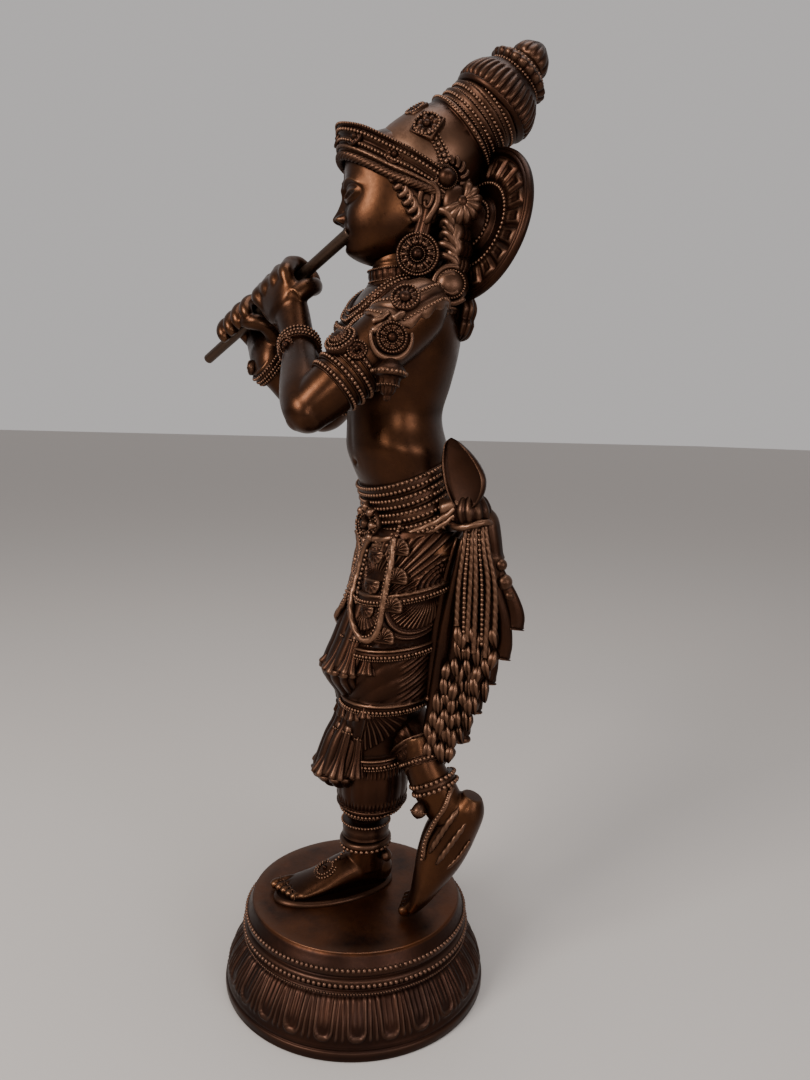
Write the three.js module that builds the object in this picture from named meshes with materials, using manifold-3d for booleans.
// A cast bronze figure of a flute player with crossed ankles, on a round lotus plinth.
// Millimetres, +Z up. The figure faces -Y and its left is +X.
// The origin is the middle of the plinth's flat underside.
import * as THREE from "three";
import { ParametricGeometry } from "three/addons/geometries/ParametricGeometry.js";
import { mergeVertices } from "three/addons/utils/BufferGeometryUtils.js";
import Module from "manifold-3d";

const wasm = await Module();
wasm.setup();

// Driving dimensions: plinth
const PLINTH_HEIGHT = 48;
const PLINTH_FOOT_RADIUS = 73;
const FOOT_RIM_HEIGHT = 5;
const DISC_TOP_RADIUS = 58;
const DISC_HEIGHT = 11;
const DISC_FLARE = 3;
const BEAD_BAND_HEIGHT = 8;
const BEAD_BAND_PROUD = 1.5;
const FLUTE_COUNT = 36;
const FLUTE_RELIEF = 1.6;
const EDGE_ROUND = 1;

// Driving dimensions: figure. Every landmark below is drawn on a figure DRAWN_HEIGHT tall,
// measured up from its soles, and grows with FIGURE_HEIGHT.
const FIGURE_HEIGHT = 454;
const DRAWN_HEIGHT = 454;
const HEAD_TURN = 22;
const BAND_TILT = 27;
const RINGS_LEAN = 48;
const BULB_LEAN = 39;
const HAND_SIZE = 1.22;
const SASH_SPREAD = 60;
const CASCADE_THICKNESS = 9;

// Driving dimensions: flute
const PIPE_LENGTH = 138;
const PIPE_DIAMETER = 6.4;
const PIPE_TAPER = 0.92;
const PIPE_CLEARANCE = 0.35;

// How the figure's joined skin is thinned to few triangles: how many it keeps, the share of its edges
// that may fold in one round, the cost of an edge's length, and the smallest triangle and turn it takes.
const FIGURE_TRIANGLES = 6500;
const FOLD_SHARE = 1 / 12;
const FEWEST_FOLDS = 8;
const LENGTH_COST = 1e-4;
const SMALLEST_TRIANGLE = 1e-5;
const LEAST_AGREEMENT = 0.3;
const MERGE_DISTANCE = 1e-4;

const GROW = FIGURE_HEIGHT / DRAWN_HEIGHT;
const degrees = THREE.MathUtils.degToRad;
const TURN = 2 * Math.PI;

const BRONZE = { color: 0x4a2c1a, metalness: 0.9, roughness: 0.42 };
const bronze = () => new THREE.MeshStandardMaterial(BRONZE);
const pipeBronze = () => new THREE.MeshStandardMaterial({ ...BRONZE, color: 0x5a4430 });

// A landmark of the figure: x to its left, y to its back, z up from the soles.
const at = (x, y, z) => new THREE.Vector3(x, y, z).multiplyScalar(GROW).setZ(z * GROW + PLINTH_HEIGHT);
const towards = (x, y, z) => new THREE.Vector3(x, y, z).normalize();

// A closed mesh as a solid, its faces turned outwards.
function solid(geometry) {
  const bare = geometry.clone();
  for (const name of Object.keys(bare.attributes)) if (name !== "position") bare.deleteAttribute(name);
  const merged = mergeVertices(bare, MERGE_DISTANCE);
  const points = merged.attributes.position;
  const corners = merged.index.array;
  const triangles = [];
  const [a, b, c] = [new THREE.Vector3(), new THREE.Vector3(), new THREE.Vector3()];
  let volume = 0;
  for (let i = 0; i < corners.length; i += 3) {
    const [p, q, r] = corners.slice(i, i + 3);
    if (p === q || q === r || r === p) continue;
    triangles.push(p, q, r);
    a.fromBufferAttribute(points, p);
    b.fromBufferAttribute(points, q);
    c.fromBufferAttribute(points, r);
    volume += a.dot(b.cross(c));
  }
  if (volume < 0) triangles.reverse();
  const mesh = { numProp: 3, vertProperties: points.array, triVerts: Uint32Array.from(triangles) };
  return new wasm.Manifold(new wasm.Mesh(mesh));
}

const join = (...solids) => wasm.Manifold.union(solids.flat(Infinity));

// The same solid with any sealed hollow inside it filled, as a caster would.
const filled = (made) => join(made.decompose().filter((body) => body.volume() > 0));

// How far a point lies from the planes gathered in a sum of squares, and that sum for one triangle.
function offPlanes([xx, yy, zz, xy, xz, yz, xw, yw, zw, ww], { x, y, z }) {
  const squares = xx * x * x + yy * y * y + zz * z * z;
  const products = xy * x * y + xz * x * z + yz * y * z;
  return squares + 2 * products + 2 * (xw * x + yw * y + zw * z) + ww;
}

function planeSum({ a, b, c }) {
  const cross = b.clone().sub(a).cross(c.clone().sub(a));
  const area = cross.length();
  const { x, y, z } = cross.divideScalar(area || 1);
  const w = -(x * a.x + y * a.y + z * a.z);
  return [x * x, y * y, z * z, x * y, x * z, y * z, x * w, y * w, z * w, w * w].map((v) => v * area);
}

// The same closed skin with at most so many triangles. The flattest edges fold up first, a few in each
// round, and only where the skin stays closed and no face turns over.
function thinned(made, most) {
  const { vertProperties, triVerts, numProp } = made.getMesh();
  const points = [];
  for (let i = 0; i < vertProperties.length; i += numProp)
    points.push(new THREE.Vector3(...vertProperties.subarray(i, i + 3)));
  let faces = [];
  for (let i = 0; i < triVerts.length; i += 3) faces.push([...triVerts.subarray(i, i + 3)]);
  const triangle = ([p, q, r]) => new THREE.Triangle(points[p], points[q], points[r]);
  const sums = points.map(() => new Array(10).fill(0));
  for (const face of faces) {
    const sum = planeSum(triangle(face));
    for (const corner of face) sum.forEach((v, k) => (sums[corner][k] += v));
  }
  while (faces.length > most) {
    const around = points.map(() => []);
    faces.forEach((face, i) => face.forEach((corner) => around[corner].push(i)));
    const edges = [];
    for (const face of faces)
      for (const [p, q] of [[face[0], face[1]], [face[1], face[2]], [face[2], face[0]]]) {
        if (p > q) continue;
        const sum = sums[p].map((v, k) => v + sums[q][k]);
        const ends = [points[p], points[q], points[p].clone().lerp(points[q], 0.5)];
        const costs = ends.map((end) => offPlanes(sum, end));
        const best = costs.indexOf(Math.min(...costs));
        const cost = costs[best] + LENGTH_COST * points[p].distanceToSquared(points[q]);
        edges.push({ p, q, sum, cost, end: ends[best].clone() });
      }
    edges.sort((one, other) => one.cost - other.cost);
    const busy = new Set();
    const gone = new Set();
    const share = Math.max(Math.ceil(edges.length * FOLD_SHARE), FEWEST_FOLDS);
    for (const { p, q, sum, end } of edges.slice(0, share)) {
      if (faces.length - gone.size <= most) break;
      const near = [...new Set([...around[p], ...around[q]])];
      const corners = new Set(near.flatMap((i) => faces[i]));
      if ([...corners].some((corner) => busy.has(corner))) continue;
      const beside = (corner) => new Set(around[corner].flatMap((i) => faces[i]));
      const [byP, byQ] = [beside(p), beside(q)];
      if ([...byP].filter((corner) => byQ.has(corner)).length !== 4) continue;
      const kept = near.filter((i) => !(faces[i].includes(p) && faces[i].includes(q)));
      const moved = (i) => faces[i].map((corner) => (corner === p || corner === q ? end : points[corner]));
      const turnsOver = kept.some((i) => {
        const before = triangle(faces[i]).getNormal(new THREE.Vector3());
        const after = new THREE.Triangle(...moved(i));
        const agreement = before.dot(after.getNormal(new THREE.Vector3()));
        return after.getArea() < SMALLEST_TRIANGLE || agreement < LEAST_AGREEMENT;
      });
      if (turnsOver) continue;
      near.filter((i) => !kept.includes(i)).forEach((i) => gone.add(i));
      kept.forEach((i) => (faces[i] = faces[i].map((corner) => (corner === q ? p : corner))));
      points[p].copy(end);
      sums[p] = sum;
      corners.forEach((corner) => busy.add(corner));
    }
    if (!gone.size) break;
    faces = faces.filter((_, i) => !gone.has(i));
  }
  const geometry = new THREE.BufferGeometry();
  const places = points.flatMap((p) => p.toArray());
  geometry.setAttribute("position", new THREE.Float32BufferAttribute(places, 3));
  geometry.setIndex(faces.flat());
  return solid(geometry);
}

// A solid back as a named mesh.
function piece(name, made, material) {
  const { vertProperties, triVerts, numProp } = made.getMesh();
  const geometry = new THREE.BufferGeometry();
  const positions = new Float32Array((vertProperties.length / numProp) * 3);
  for (let i = 0; i * numProp < vertProperties.length; i++)
    positions.set(vertProperties.subarray(i * numProp, i * numProp + 3), i * 3);
  geometry.setAttribute("position", new THREE.BufferAttribute(positions, 3));
  geometry.setIndex(new THREE.BufferAttribute(triVerts, 1));
  const mesh = new THREE.Mesh(geometry, material);
  mesh.name = name;
  return mesh;
}

// Smooth values between the rows of a table: row(t) for t from 0 to 1.
function between(rows) {
  const last = rows.length - 1;
  return (t) => {
    const spot = Math.min(t * last, last - 1e-9);
    const i = Math.floor(spot);
    const f = spot - i;
    const pick = (k) => rows[Math.min(Math.max(k, 0), last)];
    return rows[i].map((_, column) => {
      const [p, q, r, s] = [i - 1, i, i + 1, i + 2].map((k) => pick(k)[column]);
      return q + 0.5 * f * (r - p + f * (2 * p - 5 * q + 4 * r - s + f * (3 * (q - r) + s - p)));
    });
  };
}

// A closed skin over rings: ring(t, angle) for t from 0 to 1, with its ends closed on middle(t).
function skin(ring, middle, sides, steps) {
  const rows = steps + 2;
  const surface = (u, v, target) => {
    const row = Math.round(v * rows);
    const t = Math.min(Math.max((row - 1) / steps, 0), 1);
    const turned = (Math.round(u * sides) % sides) / sides;
    target.copy(row === 0 || row === rows ? middle(t) : ring(t, turned * TURN));
  };
  return solid(new ParametricGeometry(surface, sides, rows));
}

// Level sections stacked up: rows of [z, x, y, half width, half depth].
// relief(angle, z) moves the skin outwards; angle 0 is the figure's left and 270 degrees its front.
function stack(rows, sides, steps, relief = () => 0) {
  const row = between(rows);
  const middle = (t) => {
    const [z, x, y] = row(t);
    return at(x, y, z);
  };
  const ring = (t, angle) => {
    const [z, x, y, wide, deep] = row(t);
    const out = relief(angle, z);
    return at(x + (wide + out) * Math.cos(angle), y + (deep + out) * Math.sin(angle), z);
  };
  return skin(ring, middle, sides, steps);
}

// A limb along stations of [x, y, z, half width, half depth], its width laid along the direction wide.
function limb(stations, wide, sides = 10, steps = 2 * (stations.length - 1), relief = () => 0) {
  const row = between(stations);
  const middle = (t) => at(...row(t).slice(0, 3));
  const ring = (t, angle) => {
    const step = 1e-3;
    const along = middle(Math.min(t + step, 1)).sub(middle(Math.max(t - step, 0))).normalize();
    const across = wide.clone().addScaledVector(along, -wide.dot(along)).normalize();
    const outward = along.clone().cross(across);
    const [, , , half, deep] = row(t);
    const out = relief(angle, t);
    return middle(t)
      .addScaledVector(across, (half + out) * GROW * Math.cos(angle))
      .addScaledVector(outward, (deep + out) * GROW * Math.sin(angle));
  };
  return skin(ring, middle, sides, steps);
}

// A turned form on an axis: rows of [distance along the axis, radius].
function turned(foot, axis, rows, sides, relief = () => 0) {
  const row = between(rows);
  const wide = Math.abs(axis.x) > 0.8 ? towards(0, 1, 0) : towards(1, 0, 0);
  const across = wide.addScaledVector(axis, -wide.dot(axis)).normalize();
  const outward = axis.clone().cross(across);
  const middle = (t) => foot.clone().addScaledVector(axis, row(t)[0] * GROW);
  const ring = (t, angle) => {
    const radius = (row(t)[1] + relief(angle, row(t)[0])) * GROW;
    return middle(t)
      .addScaledVector(across, radius * Math.cos(angle))
      .addScaledVector(outward, radius * Math.sin(angle));
  };
  return skin(ring, middle, sides, rows.length - 1);
}

// A rounded lump with half sizes along x, y and z.
function lump(x, y, z, [wide, deep, high], sides = 10, steps = 5) {
  const geometry = new THREE.SphereGeometry(GROW, sides, steps).rotateX(Math.PI / 2);
  const middle = at(x, y, z);
  return solid(geometry.scale(wide, deep, high).translate(middle.x, middle.y, middle.z));
}

// A ring of half height high that stands proud of a limb's section at a point.
function cuff(x, y, z, axis, radius, high, sides = 14) {
  const rows = [[-high, radius - 1.4], [-high * 0.5, radius], [high * 0.5, radius], [high, radius - 1.4]];
  return turned(at(x, y, z), axis, rows, sides);
}

// The plinth: a fluted bell under a plain disc, with a beaded step between them.
function plinth() {
  const discBase = PLINTH_HEIGHT - DISC_HEIGHT;
  const bellTop = discBase - BEAD_BAND_HEIGHT;
  const stepRadius = DISC_TOP_RADIUS + DISC_FLARE;
  const bellHeight = bellTop - FOOT_RIM_HEIGHT;
  const belly = (f) => stepRadius + (PLINTH_FOOT_RADIUS - stepRadius) * Math.sin((f * Math.PI) / 2);
  const rows = [
    [0, 0, 0],
    [0, PLINTH_FOOT_RADIUS - EDGE_ROUND, 0],
    [EDGE_ROUND, PLINTH_FOOT_RADIUS, 0],
    [FOOT_RIM_HEIGHT, PLINTH_FOOT_RADIUS, 0],
    [FOOT_RIM_HEIGHT + EDGE_ROUND, belly(0.94), 0.5],
    [FOOT_RIM_HEIGHT + bellHeight * 0.3, belly(0.8), 1],
    [FOOT_RIM_HEIGHT + bellHeight * 0.65, belly(0.48), 1],
    [bellTop - EDGE_ROUND, belly(0.18), 0.6],
    [bellTop, stepRadius, 0],
    [bellTop + EDGE_ROUND, stepRadius + BEAD_BAND_PROUD, 0],
    [discBase - EDGE_ROUND, stepRadius + BEAD_BAND_PROUD, 0],
    [discBase, stepRadius - EDGE_ROUND, 0],
    [discBase + EDGE_ROUND, stepRadius, 0],
    [PLINTH_HEIGHT - 2 * EDGE_ROUND, DISC_TOP_RADIUS + EDGE_ROUND, 0],
    [PLINTH_HEIGHT, DISC_TOP_RADIUS - EDGE_ROUND, 0],
    [PLINTH_HEIGHT, 0, 0],
  ];
  const sides = 2 * FLUTE_COUNT;
  const surface = (u, v, target) => {
    const [z, radius, carved] = rows[Math.round(v * (rows.length - 1))];
    const spoke = Math.round(u * sides) % sides;
    const angle = (spoke / sides) * TURN;
    const out = spoke % 2 ? -FLUTE_RELIEF * carved : 0;
    target.set((radius + out) * Math.cos(angle), (radius + out) * Math.sin(angle), z);
  };
  return solid(new ParametricGeometry(surface, sides, rows.length - 1));
}

// The trunk from the hips to the foot of the neck: [z, x, y, half width, half depth].
const TRUNK = [
  [196, 3, 29, 36, 23],
  [212, 2, 27, 33, 22],
  [226, 1, 23.5, 29.5, 21.5],
  [240, 0.5, 19.5, 28, 23],
  [254, 0, 17, 27, 25],
  [268, 0, 15.5, 28, 25.5],
  [284, 0, 16.5, 32, 27.5],
  [300, 0, 17.5, 37.5, 29],
  [313, 0, 18, 39, 28.5],
  [323, 0, 17, 36, 24],
  [331, 0, 16, 26, 18],
  [337, 1, 15.5, 15, 14],
];
const trunkAt = (z) => {
  const row = between(TRUNK);
  let [low, high] = [0, 1];
  for (let i = 0; i < 30; i++) {
    const mid = (low + high) / 2;
    if (row(mid)[0] < z) low = mid;
    else high = mid;
  }
  return row(low);
};

const NECK = [
  [1, 15, 326, 16, 16],
  [2, 14.5, 336, 14, 15],
  [3, 16, 346, 13, 15],
  [3, 18, 360, 12, 14],
];

function trunk() {
  return [
    stack(TRUNK, 22, 15),
    limb(NECK, towards(1, 0, 0), 12),
    lump(13, -2, 309, [13, 9, 10], 10, 6),
    lump(-13, -2, 309, [13, 9, 10], 10, 6),
  ];
}

// A band round the trunk between two heights, dipping to the front.
function trunkBand(low, high, proud, dip) {
  const rows = [0, 0.12, 0.5, 0.88, 1].map((f) => [f, f === 0 || f === 1 ? -1 : proud]);
  const row = between(rows);
  const level = (t) => low + row(t)[0] * (high - low);
  const middle = (t) => {
    const [, x, y] = trunkAt(level(t));
    return at(x, y, level(t));
  };
  const ring = (t, angle) => {
    const z = level(t) + dip * Math.sin(angle);
    const [, x, y, wide, deep] = trunkAt(z);
    const out = row(t)[1];
    return at(x + (wide + out) * Math.cos(angle), y + (deep + out) * Math.sin(angle), z);
  };
  return skin(ring, middle, 22, 4);
}

// The head, drawn facing -Y about its own middle, then turned to the figure's right.
const HEAD_MIDDLE = [3, 14];
function headPoint(x, y, z) {
  const [c, s] = [Math.cos(degrees(HEAD_TURN)), Math.sin(degrees(HEAD_TURN))];
  return at(HEAD_MIDDLE[0] + x * c + y * s, HEAD_MIDDLE[1] - x * s + y * c, z);
}
const headWay = (x, y, z) => headPoint(x, y, z).sub(headPoint(0, 0, 0)).normalize();

// [z, front, back, half width] of the skull and face.
const SKULL = [
  [346, -19, -8, 5],
  [349, -23, 0, 11],
  [355, -25, 14, 17],
  [363, -26, 26, 20.5],
  [372, -26, 32, 22],
  [380, -26.5, 35, 22.5],
  [389, -27.5, 36, 22.5],
  [399, -26, 35, 21],
  [407, -17, 30, 16],
  [410, -8, 20, 8],
];

function head() {
  const row = between(SKULL);
  const middle = (t) => {
    const [z, front, back] = row(t);
    return headPoint(0, (front + back) / 2, z);
  };
  const ring = (t, angle) => {
    const [z, front, back, half] = row(t);
    const deep = (back - front) / 2;
    return headPoint(half * Math.cos(angle), (front + back) / 2 + deep * Math.sin(angle), z);
  };
  const nose = new THREE.ConeGeometry(1, 1, 4).rotateY(Math.PI / 4);
  nose.scale(5.2 * GROW, 18 * GROW, 9 * GROW).rotateX(Math.PI / 2 - 0.2);
  const bridge = headPoint(0, -27, 372);
  nose.rotateZ(-degrees(HEAD_TURN)).translate(bridge.x, bridge.y, bridge.z);
  const lips = [[-6, -23.5, 357.5, 1, 1.2], [0, -26.5, 357.5, 2.4, 2], [6, -23.5, 357.5, 1, 1.2]];
  const eye = (side) => [
    [side * 4, -26, 379, 1, 1],
    [side * 9, -25.5, 379.5, 2.6, 2.4],
    [side * 15, -20.5, 380.5, 1, 1],
  ];
  const eyes = [1, -1].map((side) => headLimb(eye(side), [0, 0, 1], 6, 4));
  return [skin(ring, middle, 20, 14), solid(nose), headLimb(lips, [0, 0, 1], 6, 4), eyes, ears()];
}

// A limb drawn in the head's own frame.
function headLimb(stations, wide, sides, steps) {
  const moved = stations.map(([x, y, z, half, deep]) => {
    const p = headPoint(x, y, z);
    return [p.x / GROW, p.y / GROW, (p.z - PLINTH_HEIGHT) / GROW, half, deep];
  });
  return limb(moved, headWay(...wide), sides, steps);
}

// Ears with long lobes, each with a hanging disc.
function ears() {
  return [1, -1].map((side) => {
    const shell = [[22, 9, 386, 1.5, 3], [23.5, 11, 381, 3, 5.5], [23, 10, 370, 2.5, 4], [23, 8, 358, 2, 3]];
    const disc = headPoint(side * 23, 8, 345);
    return [
      headLimb(shell.map(([x, ...rest]) => [side * x, ...rest]), [1, 0, 0], 8, 6),
      turned(disc, headWay(side, 0.1, 0), [[-3, 6], [0, 10.5], [2.2, 10.5], [3.2, 7], [4.2, 3]], 16),
    ];
  });
}

// The band of the crown, high on the brow and low over the ears.
function browBand() {
  const section = [[-1, 0], [-0.6, 2.8], [0.2, 3.6], [0.8, 3], [1, 0]];
  const row = between(section);
  const [front, back, half, level, high] = [-31.5, 38, 25, 389, 7.5];
  const slope = Math.tan(degrees(BAND_TILT));
  const middle = (t) => headPoint(0, (front + back) / 2, level + high * row(t)[0]);
  const ring = (t, angle) => {
    const [rise, proud] = row(t);
    const y = (front + back) / 2 + ((back - front) / 2 + proud - 3) * Math.sin(angle);
    return headPoint((half + proud - 3) * Math.cos(angle), y, level + high * rise - y * slope);
  };
  return skin(ring, middle, 20, 6);
}

// The tall crown that leans back: ringed cone, fluted bulb, leaf collar and knob.
const leaning = (lean) => headWay(0, Math.sin(degrees(lean)), Math.cos(degrees(lean)));

function crown() {
  const rings = [[-40, 24], [-30, 26.5], [-16, 24.6], [-4, 20.5], [-1.5, 21.5], [0, 21.5]];
  for (const k of [1, 2, 3]) rings.push([6 * k - 5, 19], [6 * k - 1, 20.6], [6 * k, 20.6]);
  const cone = turned(headPoint(0, 32, 411), leaning(RINGS_LEAN), [...rings, [19, 17], [24, 12]], 22);
  const foot = headPoint(0, 45, 422.5);
  const axis = leaning(BULB_LEAN);
  const bulbRows = [[-3, 15], [-1, 21], [1, 22.6], [5, 22.6], [12, 20], [18, 15.5], [20, 12]];
  const flutes = (angle, along) => (along > -2 && along < 15 ? 0.7 * Math.cos(14 * angle) : 0);
  const bulb = turned(foot, axis, bulbRows, 28, flutes);
  const collar = turned(foot, axis, [[18, 11], [20.5, 16.2], [22.5, 16.8], [24.5, 14], [29, 8.5]], 14);
  const knob = turned(foot, axis, [[26, 6], [29, 10], [31.5, 10.6], [35.5, 9.2], [39, 6], [41, 2]], 12);
  const plaqueRows = [[-8, 6], [0.5, 6.5], [1.8, 3]];
  const plaque = (side) =>
    turned(headPoint(side * 13, 9, 414.5), headWay(side * 0.8, -0.45, 0.6), plaqueRows, 8);
  return [cone, bulb, collar, knob, plaque(1), plaque(-1)];
}

// Side knots of hair, the bosses at the band's ends and the lobes that rest on the shoulders.
function hair() {
  return [1, -1].map((side) => {
    const boss = headPoint(side * 24, 22, 382);
    const knot = headPoint(side * 22, 28, 371);
    const lock = [
      [19 * side, 22, 372, 5, 8],
      [19 * side, 20, 350, 5, 7],
      [18 * side, 22, 334, 6, 8],
    ];
    return [
      turned(boss, headWay(side, 0.15, 0), [[-4, 5.5], [1, 5.5], [3.5, 3.5], [4.5, 1.5]], 10),
      turned(knot, headWay(side, 0.5, 0), [[-8, 8], [1, 9], [4, 6], [5, 2]], 12),
      headLimb(lock, [1, 0, 0], 8, 4),
      lump(33 * side, 31, 332, [8, 11, 10], 10, 6),
    ];
  });
}

// The wheel behind the head, with its stem and the tassel under it.
function halo() {
  const axis = towards(0.18, -0.965, 0.2);
  const hub = at(24, 49, 364);
  const back = [[-5, 12], [-4, 26], [-1.5, 37.5], [0, 39.3]];
  const face = [[2, 39], [3, 36], [0.5, 34], [0, 14], [3, 11], [16, 9]];
  const petals = (angle, along) => (along > 0.4 && along < 0.6 ? Math.cos(16 * angle) : 0);
  const wheel = turned(hub, axis, [...back, ...face], 32, petals);
  const tassel = [[22, 42, 330, 6, 4], [23, 43, 322, 9, 6], [23, 42, 314, 8, 5], [23, 41, 309, 3, 3]];
  return [wheel, limb(tassel, towards(1, 0, 0), 8)];
}

// The flute, from just left of the lips out to the figure's right.
const PIPE_START = at(0, -11, 358.6);
const PIPE_WAY = towards(-116, -49, -58.7);
const pipePoint = (share) => PIPE_START.clone().addScaledVector(PIPE_WAY, share * PIPE_LENGTH);

function pipe(radius, extra = 0) {
  const length = PIPE_LENGTH + 2 * extra;
  const geometry = new THREE.CylinderGeometry(radius * PIPE_TAPER, radius, length, 16);
  const turn = new THREE.Quaternion().setFromUnitVectors(towards(0, 1, 0), PIPE_WAY);
  const middle = pipePoint(0.5);
  return solid(geometry.applyQuaternion(turn).translate(middle.x, middle.y, middle.z));
}

// Arms as [shoulder, elbow, wrist] with the share of the pipe that the hand holds.
const ARMS = {
  left: { side: 1, shoulder: [38, 6, 314], elbow: [27, -41.5, 268], wrist: [-17, -32, 303], hold: 0.39 },
  right: { side: -1, shoulder: [-38, 20, 314], elbow: [-70, 2, 268], wrist: [-67, -34, 296], hold: 0.69 },
};

const mix = (p, q, f) => p.map((v, i) => v + (q[i] - v) * f);
const span = (p, q) => towards(...p.map((v, i) => q[i] - v));

function arm({ side, shoulder, elbow, wrist, hold }) {
  const upper = [[-0.28, 8], [-0.12, 14], [0.15, 15.5], [0.5, 14.5], [0.85, 12.5], [1.08, 8]];
  const lower = [[-0.16, 6], [-0.02, 11.5], [0.3, 11.6], [0.7, 10], [1.06, 9.4]];
  const from = (p, q) => ([share, radius]) => [...mix(p, q, share), radius, radius];
  const clasp = at(...mix(shoulder, elbow, 0.48));
  return [
    limb(upper.map(from(shoulder, elbow)), towards(1, 0, 0), 12),
    limb(lower.map(from(elbow, wrist)), towards(0, 0, 1), 12),
    cuff(...mix(shoulder, elbow, 0.64), span(shoulder, elbow), 15.6, 7),
    cuff(...mix(shoulder, elbow, 0.4), span(shoulder, elbow), 16, 2),
    cuff(...mix(elbow, wrist, 0.95), span(elbow, wrist), 11.8, 3.4, 12),
    turned(clasp, towards(side * 0.7, -0.3, 0.62), [[9, 9], [16, 9], [18.5, 5]], 10),
    hand(wrist, hold, side),
  ];
}

// A fist on the flute: a palm below it, four curled fingers over it and a thumb.
function hand(wrist, hold, side) {
  const grip = pipePoint(hold);
  const from = at(...wrist);
  const up = grip.clone().sub(from).normalize();
  const back = PIPE_WAY.clone().cross(up).normalize().multiplyScalar(-side);
  const local = (p) => [p.x / GROW, p.y / GROW, (p.z - PLINTH_HEIGHT) / GROW];
  const step = (way, size) => way.clone().multiplyScalar(size * HAND_SIZE * GROW);
  const near = (along, out, rise) =>
    local(grip.clone().add(step(PIPE_WAY, along)).add(step(back, out)).add(step(up, rise)));
  const sized = ([place, half, deep]) => [...place, half * HAND_SIZE, deep * HAND_SIZE];
  const palm = [
    [local(from), 8.2, 7],
    [near(-2, 3, -18), 11, 7],
    [near(0, 7, -9), 13, 6.4],
    [near(0, 8.5, -2), 12.5, 4.8],
    [near(0, 8, 3), 8, 2.5],
  ].map(sized);
  const fingers = [-10.5, -3.5, 3.5, 10].map((along, k) => {
    const reach = 7.4 - 0.4 * Math.abs(k - 1);
    const arc = [-10, 25, 65, 110, 160, 200].map((angle, i) => {
      const turn = degrees(angle);
      const thick = i === 5 ? 1.8 : 3.5;
      return [near(along, reach * Math.cos(turn), reach * Math.sin(turn)), thick, thick];
    });
    return limb(arc.map(sized), PIPE_WAY, 7, 6);
  });
  const thumb = [
    [near(-9, 5, -14), 4.2, 4.2],
    [near(-13, -1, -9), 4, 3.8],
    [near(-11, -5.5, -5), 3.6, 3.4],
    [near(-6, -7, -2), 2, 2],
  ];
  return [limb(palm, PIPE_WAY, 12, 7), fingers, limb(thumb.map(sized), towards(0, 0, 1), 7, 5)];
}

// The wrapped cloth on the standing leg: [z, x, y, half width, half depth], gathered by swags.
const STANDING_LEG = [
  [206, 14, 26, 24, 25],
  [180, 13.5, 20, 24.5, 25],
  [158, 12.5, 15, 23, 24],
  [142, 12.5, 13, 22, 24],
  [126, 11.5, 12, 22.5, 24],
  [108, 8, 10, 21, 22],
  [92, 4.5, 6.5, 18.5, 18.5],
  [79, 3.5, 7, 19, 19],
  [67, 3.2, 6.8, 20, 20],
  [57, 3, 6.5, 18.5, 18.5],
  [50.5, 2.5, 5.8, 13.5, 13.5],
  [46, 1.7, 4.2, 11, 11],
  [43.5, 1, 4, 8, 8],
];
const SWAGS = [179, 148, 117, 83, 52];
const swagRelief = (angle, z) => {
  const edge = SWAGS.some((level) => Math.abs(z - level - 2 * Math.sin(angle)) < 3.2);
  return edge ? 1.6 : 0.3 * Math.cos(9 * angle);
};

const STANDING_ANKLE = [
  [-2, 5.5, 50, 8.5, 8.5],
  [-3, 6, 38, 8.5, 9],
  [-3.5, 6.5, 26, 9, 10],
  [-4, 7, 12, 10, 12],
];
const STANDING_FOOT = [
  [-5, 20, 6, 7, 5.8],
  [-5, 16, 8, 9.5, 8],
  [-5, 6, 10.5, 10, 10.3],
  [-6, -6, 9.5, 10.5, 9.3],
  [-7, -20, 6, 11.5, 5.9],
  [-8, -31, 4.2, 12, 4.1],
  [-8, -36, 3.4, 10, 3.2],
];

function standingLeg() {
  const toes = [-9.3, -4.8, -0.6, 3.4, 7.2].map((x, k) => {
    const tip = -45 + 1.6 * k;
    const toe = [
      [x - 8, tip, 2.6, 1.6, 2],
      [x - 8, tip + 4, 3.4, 2.6, 3.1],
      [x * 0.85 - 8, -30, 3.4, 2.6, 3],
    ];
    return limb(toe, towards(1, 0, 0), 7, 4);
  });
  return [
    stack(STANDING_LEG, 20, 26, swagRelief),
    limb(STANDING_ANKLE, towards(1, 0, 0), 12, 6),
    cuff(-2.8, 6, 35, towards(0, 0, 1), 13.4, 5),
    cuff(-3.3, 5, 22, towards(0.05, -0.35, 1), 13.5, 2.4),
    limb(STANDING_FOOT, towards(1, 0, 0), 12, 9),
    toes,
    plinthPad(),
  ];
}

// The low pad that the standing foot is cast on.
function plinthPad() {
  return stack([[0, -7, -11, 18, 35], [1.4, -7, -11, 17.5, 34.5], [2.6, -7, -11, 15.5, 32]], 20, 2);
}

// The free leg, crossing behind to stand on its toes.
const FREE_THIGH = [
  [-14, 31, 206, 22, 23],
  [-16, 27, 180, 22, 22.5],
  [-17, 21.5, 158, 20.5, 21],
  [-17, 18, 142, 19, 19.5],
  [-14, 17, 126, 17.5, 17.5],
  [2, 20, 108, 15.5, 15.5],
  [20, 24, 94, 14, 14],
  [30, 25, 85, 12, 12],
];
const FREE_SHIN = [
  [28, 22, 98, 9, 9],
  [34.2, 24, 82, 9.5, 10.5],
  [38.4, 29, 70, 10, 11.5],
  [42, 35.5, 58, 10, 10.5],
];
const FREE_FOOT = [
  [48, 44, 67, 5, 5],
  [46, 42, 60, 9, 10],
  [42, 36.8, 49, 9.5, 13.4],
  [39.2, 32, 35, 10, 12.6],
  [36.6, 28.2, 23, 11.5, 9.6],
  [34, 24.3, 12, 12, 6.4],
  [31.5, 21, 5, 11, 4.2],
];

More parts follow.
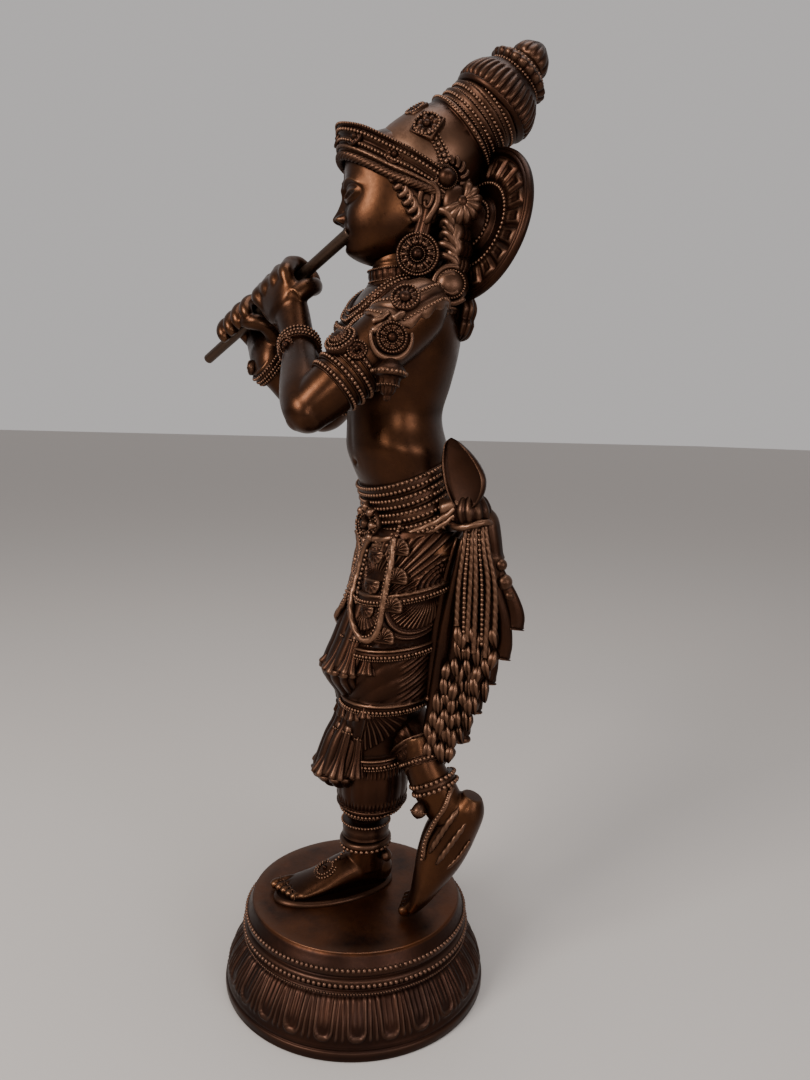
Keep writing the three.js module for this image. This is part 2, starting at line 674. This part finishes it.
function freeLeg() {
  const across = towards(0.75, -0.55, 0);
  const toes = [-8, -4, -0.2, 3.6, 7].map((x) => {
    const [knuckleX, knuckleY] = [30.5 + x * 0.8, 19 - x * 0.6];
    const toe = [
      [knuckleX - 2.5, knuckleY - 3, 2.6, 1.8, 2.4],
      [knuckleX, knuckleY, 4.5, 2.5, 3],
      [knuckleX + 2, knuckleY + 2, 9, 2.4, 2.4],
    ];
    return limb(toe, across, 7, 4);
  });
  const gathers = (angle, t) => (t > 0.97 ? -2 : 0.5 * Math.cos(7 * angle));
  return [
    limb(FREE_THIGH, towards(1, 0, 0), 16, 16, gathers),
    limb(FREE_SHIN, across, 10, 6),
    cuff(37, 28, 75, towards(9, 7, -24), 12, 3),
    limb(FREE_FOOT, across, 12, 9),
    toes,
  ];
}

// Cloth that falls in front: a tapering panel of box pleats that flares at its hem, with swags beside it.
function frontDrape() {
  const rows = [
    [202, 3, 5, 13, 5],
    [188, 3, 6, 15, 8],
    [170, 3, 1, 17, 9],
    [150, 2, -5.5, 18, 9],
    [136, 1, -11, 18, 9],
    [128, 1, -11.5, 17, 9],
    [116, 0, -4, 15, 9],
    [104, 0, -4.5, 14, 9],
    [94, 0, -8, 14, 11],
    [82, 0, -12, 15, 11.5],
    [75, 0, -14, 15, 11.5],
    [69, 0, -11, 13, 10],
  ];
  const pleats = (angle, z) => 1.1 * Math.cos(8 * angle) * (z < 190 ? 1 : 0.2);
  const clasp = turned(at(4, 2, 210), towards(0.1, -1, 0.1), [[-4, 10], [3, 10], [6, 7], [8, 3]], 12);
  const festoon = (side, z, forward) => [
    [side * 4 + 2, -11 - forward, z + 14, 3, 3],
    [side * 15 + 3, -9 - forward, z - 4, 3.4, 3.4],
    [side * 27 + 4, 4, z + 10, 3, 3],
  ];
  const festoons = [[1, 150, 0], [-1, 150, 0], [1, 122, 2], [-1, 122, 2]].map((place) =>
    limb(festoon(...place), towards(0, 0, 1), 7, 6),
  );
  return [stack(rows, 16, 20, pleats), clasp, festoons];
}

// The sash at each hip: a leaf-shaped loop, its knot, and a cascade that flares to the back.
// The cascade's outline runs from the hip outwards (u) and up (z), stepped where its pleats end.
const CASCADE = [
  [-6, 216], [14, 219], [21, 213], [24, 204], [26.5, 190], [27, 178], [34, 175], [35.5, 168], [35, 155],
  [30, 139], [24, 131], [23, 125], [17, 117], [16, 109], [10.5, 105], [10, 97], [3, 91], [-3, 88],
  [-9, 100], [-9, 160],
];

const sashWay = (side) =>
  towards(side * Math.cos(degrees(SASH_SPREAD)), Math.sin(degrees(SASH_SPREAD)), 0);
const hipOf = (side) => [side * 36 + 2, 34];

function cascade(side) {
  const out = sashWay(side);
  const [x, y] = hipOf(side);
  const outline = new THREE.Shape(CASCADE.map(([u, z]) => new THREE.Vector2(u * GROW, z * GROW)));
  const depth = CASCADE_THICKNESS * GROW;
  const slab = new THREE.ExtrudeGeometry(outline, { depth, bevelEnabled: false, steps: 1 });
  slab.translate(0, 0, -depth / 2).rotateX(Math.PI / 2).rotateZ(Math.atan2(out.y, out.x));
  return solid(slab.translate(x * GROW, y * GROW, PLINTH_HEIGHT));
}

function sash(side) {
  const out = sashWay(side);
  const hip = hipOf(side);
  const spot = (u, w, z) => [hip[0] + out.x * u + side * out.y * w, hip[1] + out.y * u - side * out.x * w, z];
  const strand = (u, w, end) => [
    [...spot(6 + 0.4 * u, w - 2, 208), 2.4, 2.4],
    [...spot(2 + 0.8 * u, w, 180), 3.2, 3.2],
    [...spot(u, w, 140), 3.6, 3.4],
    [...spot(u + 1, w, end), 4.4, 3.4],
  ];
  const leaf = [
    [...spot(3, 2, 226), 6, 3],
    [...spot(3.5, 2, 234), 10.5, 6],
    [...spot(1, 1, 245), 9, 5.5],
    [...spot(-3, 0, 256), 2.5, 2],
  ];
  const lobe = [[...spot(14, 0, 218), 5, 5], [...spot(18.5, 0, 205), 7, 6], [...spot(18.5, 0, 184), 7, 5]];
  return [
    [-4, 3, 10, 17].map((u, k) => limb(strand(u, 5.5 - 0.5 * k, 92 + 9 * k), towards(0, 1, 0), 7, 5)),
    limb(leaf, out, 12, 8),
    lump(...spot(9, 1, 219), [10, 10, 9], 12, 7),
    limb(lobe, out, 10, 5),
  ];
}

// Jewellery that stands well proud: broad collar, belt courses and the straps' discs on the shoulders.
function jewellery() {
  const courses = [0, 1, 2, 3].map((k) => trunkBand(212 + 7 * k, 218 + 7 * k, 2.2 - 0.1 * k, 9));
  const collarRows = [[-10, 30], [-7, 34], [-3, 31], [2, 20], [5, 12]];
  const collar = turned(at(0, 13, 331), towards(0, -0.5, 0.87), collarRows, 20);
  const discRows = [[4, 8], [12.5, 8.6], [14.5, 6]];
  const bellRows = [[0, 7], [3, 8], [6, 8], [7, 5.5], [12, 4.5], [17, 1]];
  const straps = [[1, 3], [-1, 12]].map(([side, y]) => [
    turned(at(side * 41, y, 303), towards(side, -0.3, 0.1), discRows, 12),
    turned(at(side * 47, y - 9, 291), towards(side * 0.1, 0, -1), bellRows, 10),
  ]);
  return [courses, collar, straps];
}

function figure() {
  const cast = join(
    trunk(), head(), browBand(), crown(), hair(), halo(), jewellery(), frontDrape(),
    arm(ARMS.left), arm(ARMS.right), standingLeg(), freeLeg(), sash(1), sash(-1),
  );
  const floorSize = 2 * PLINTH_FOOT_RADIUS + FIGURE_HEIGHT;
  const below = new THREE.BoxGeometry(floorSize, floorSize, PLINTH_HEIGHT);
  const floor = solid(below.translate(0, 0, PLINTH_HEIGHT / 2));
  const bored = pipe(PIPE_DIAMETER / 2 + PIPE_CLEARANCE, PIPE_CLEARANCE);
  const whole = join(thinned(filled(cast), FIGURE_TRIANGLES), cascade(1), cascade(-1));
  return filled(whole.subtract(bored).subtract(floor));
}

const statue = new THREE.Group();
statue.add(piece("plinth", plinth(), bronze()));
statue.add(piece("figure", figure(), bronze()));
statue.add(piece("flute", pipe(PIPE_DIAMETER / 2), pipeBronze()));
export default statue;
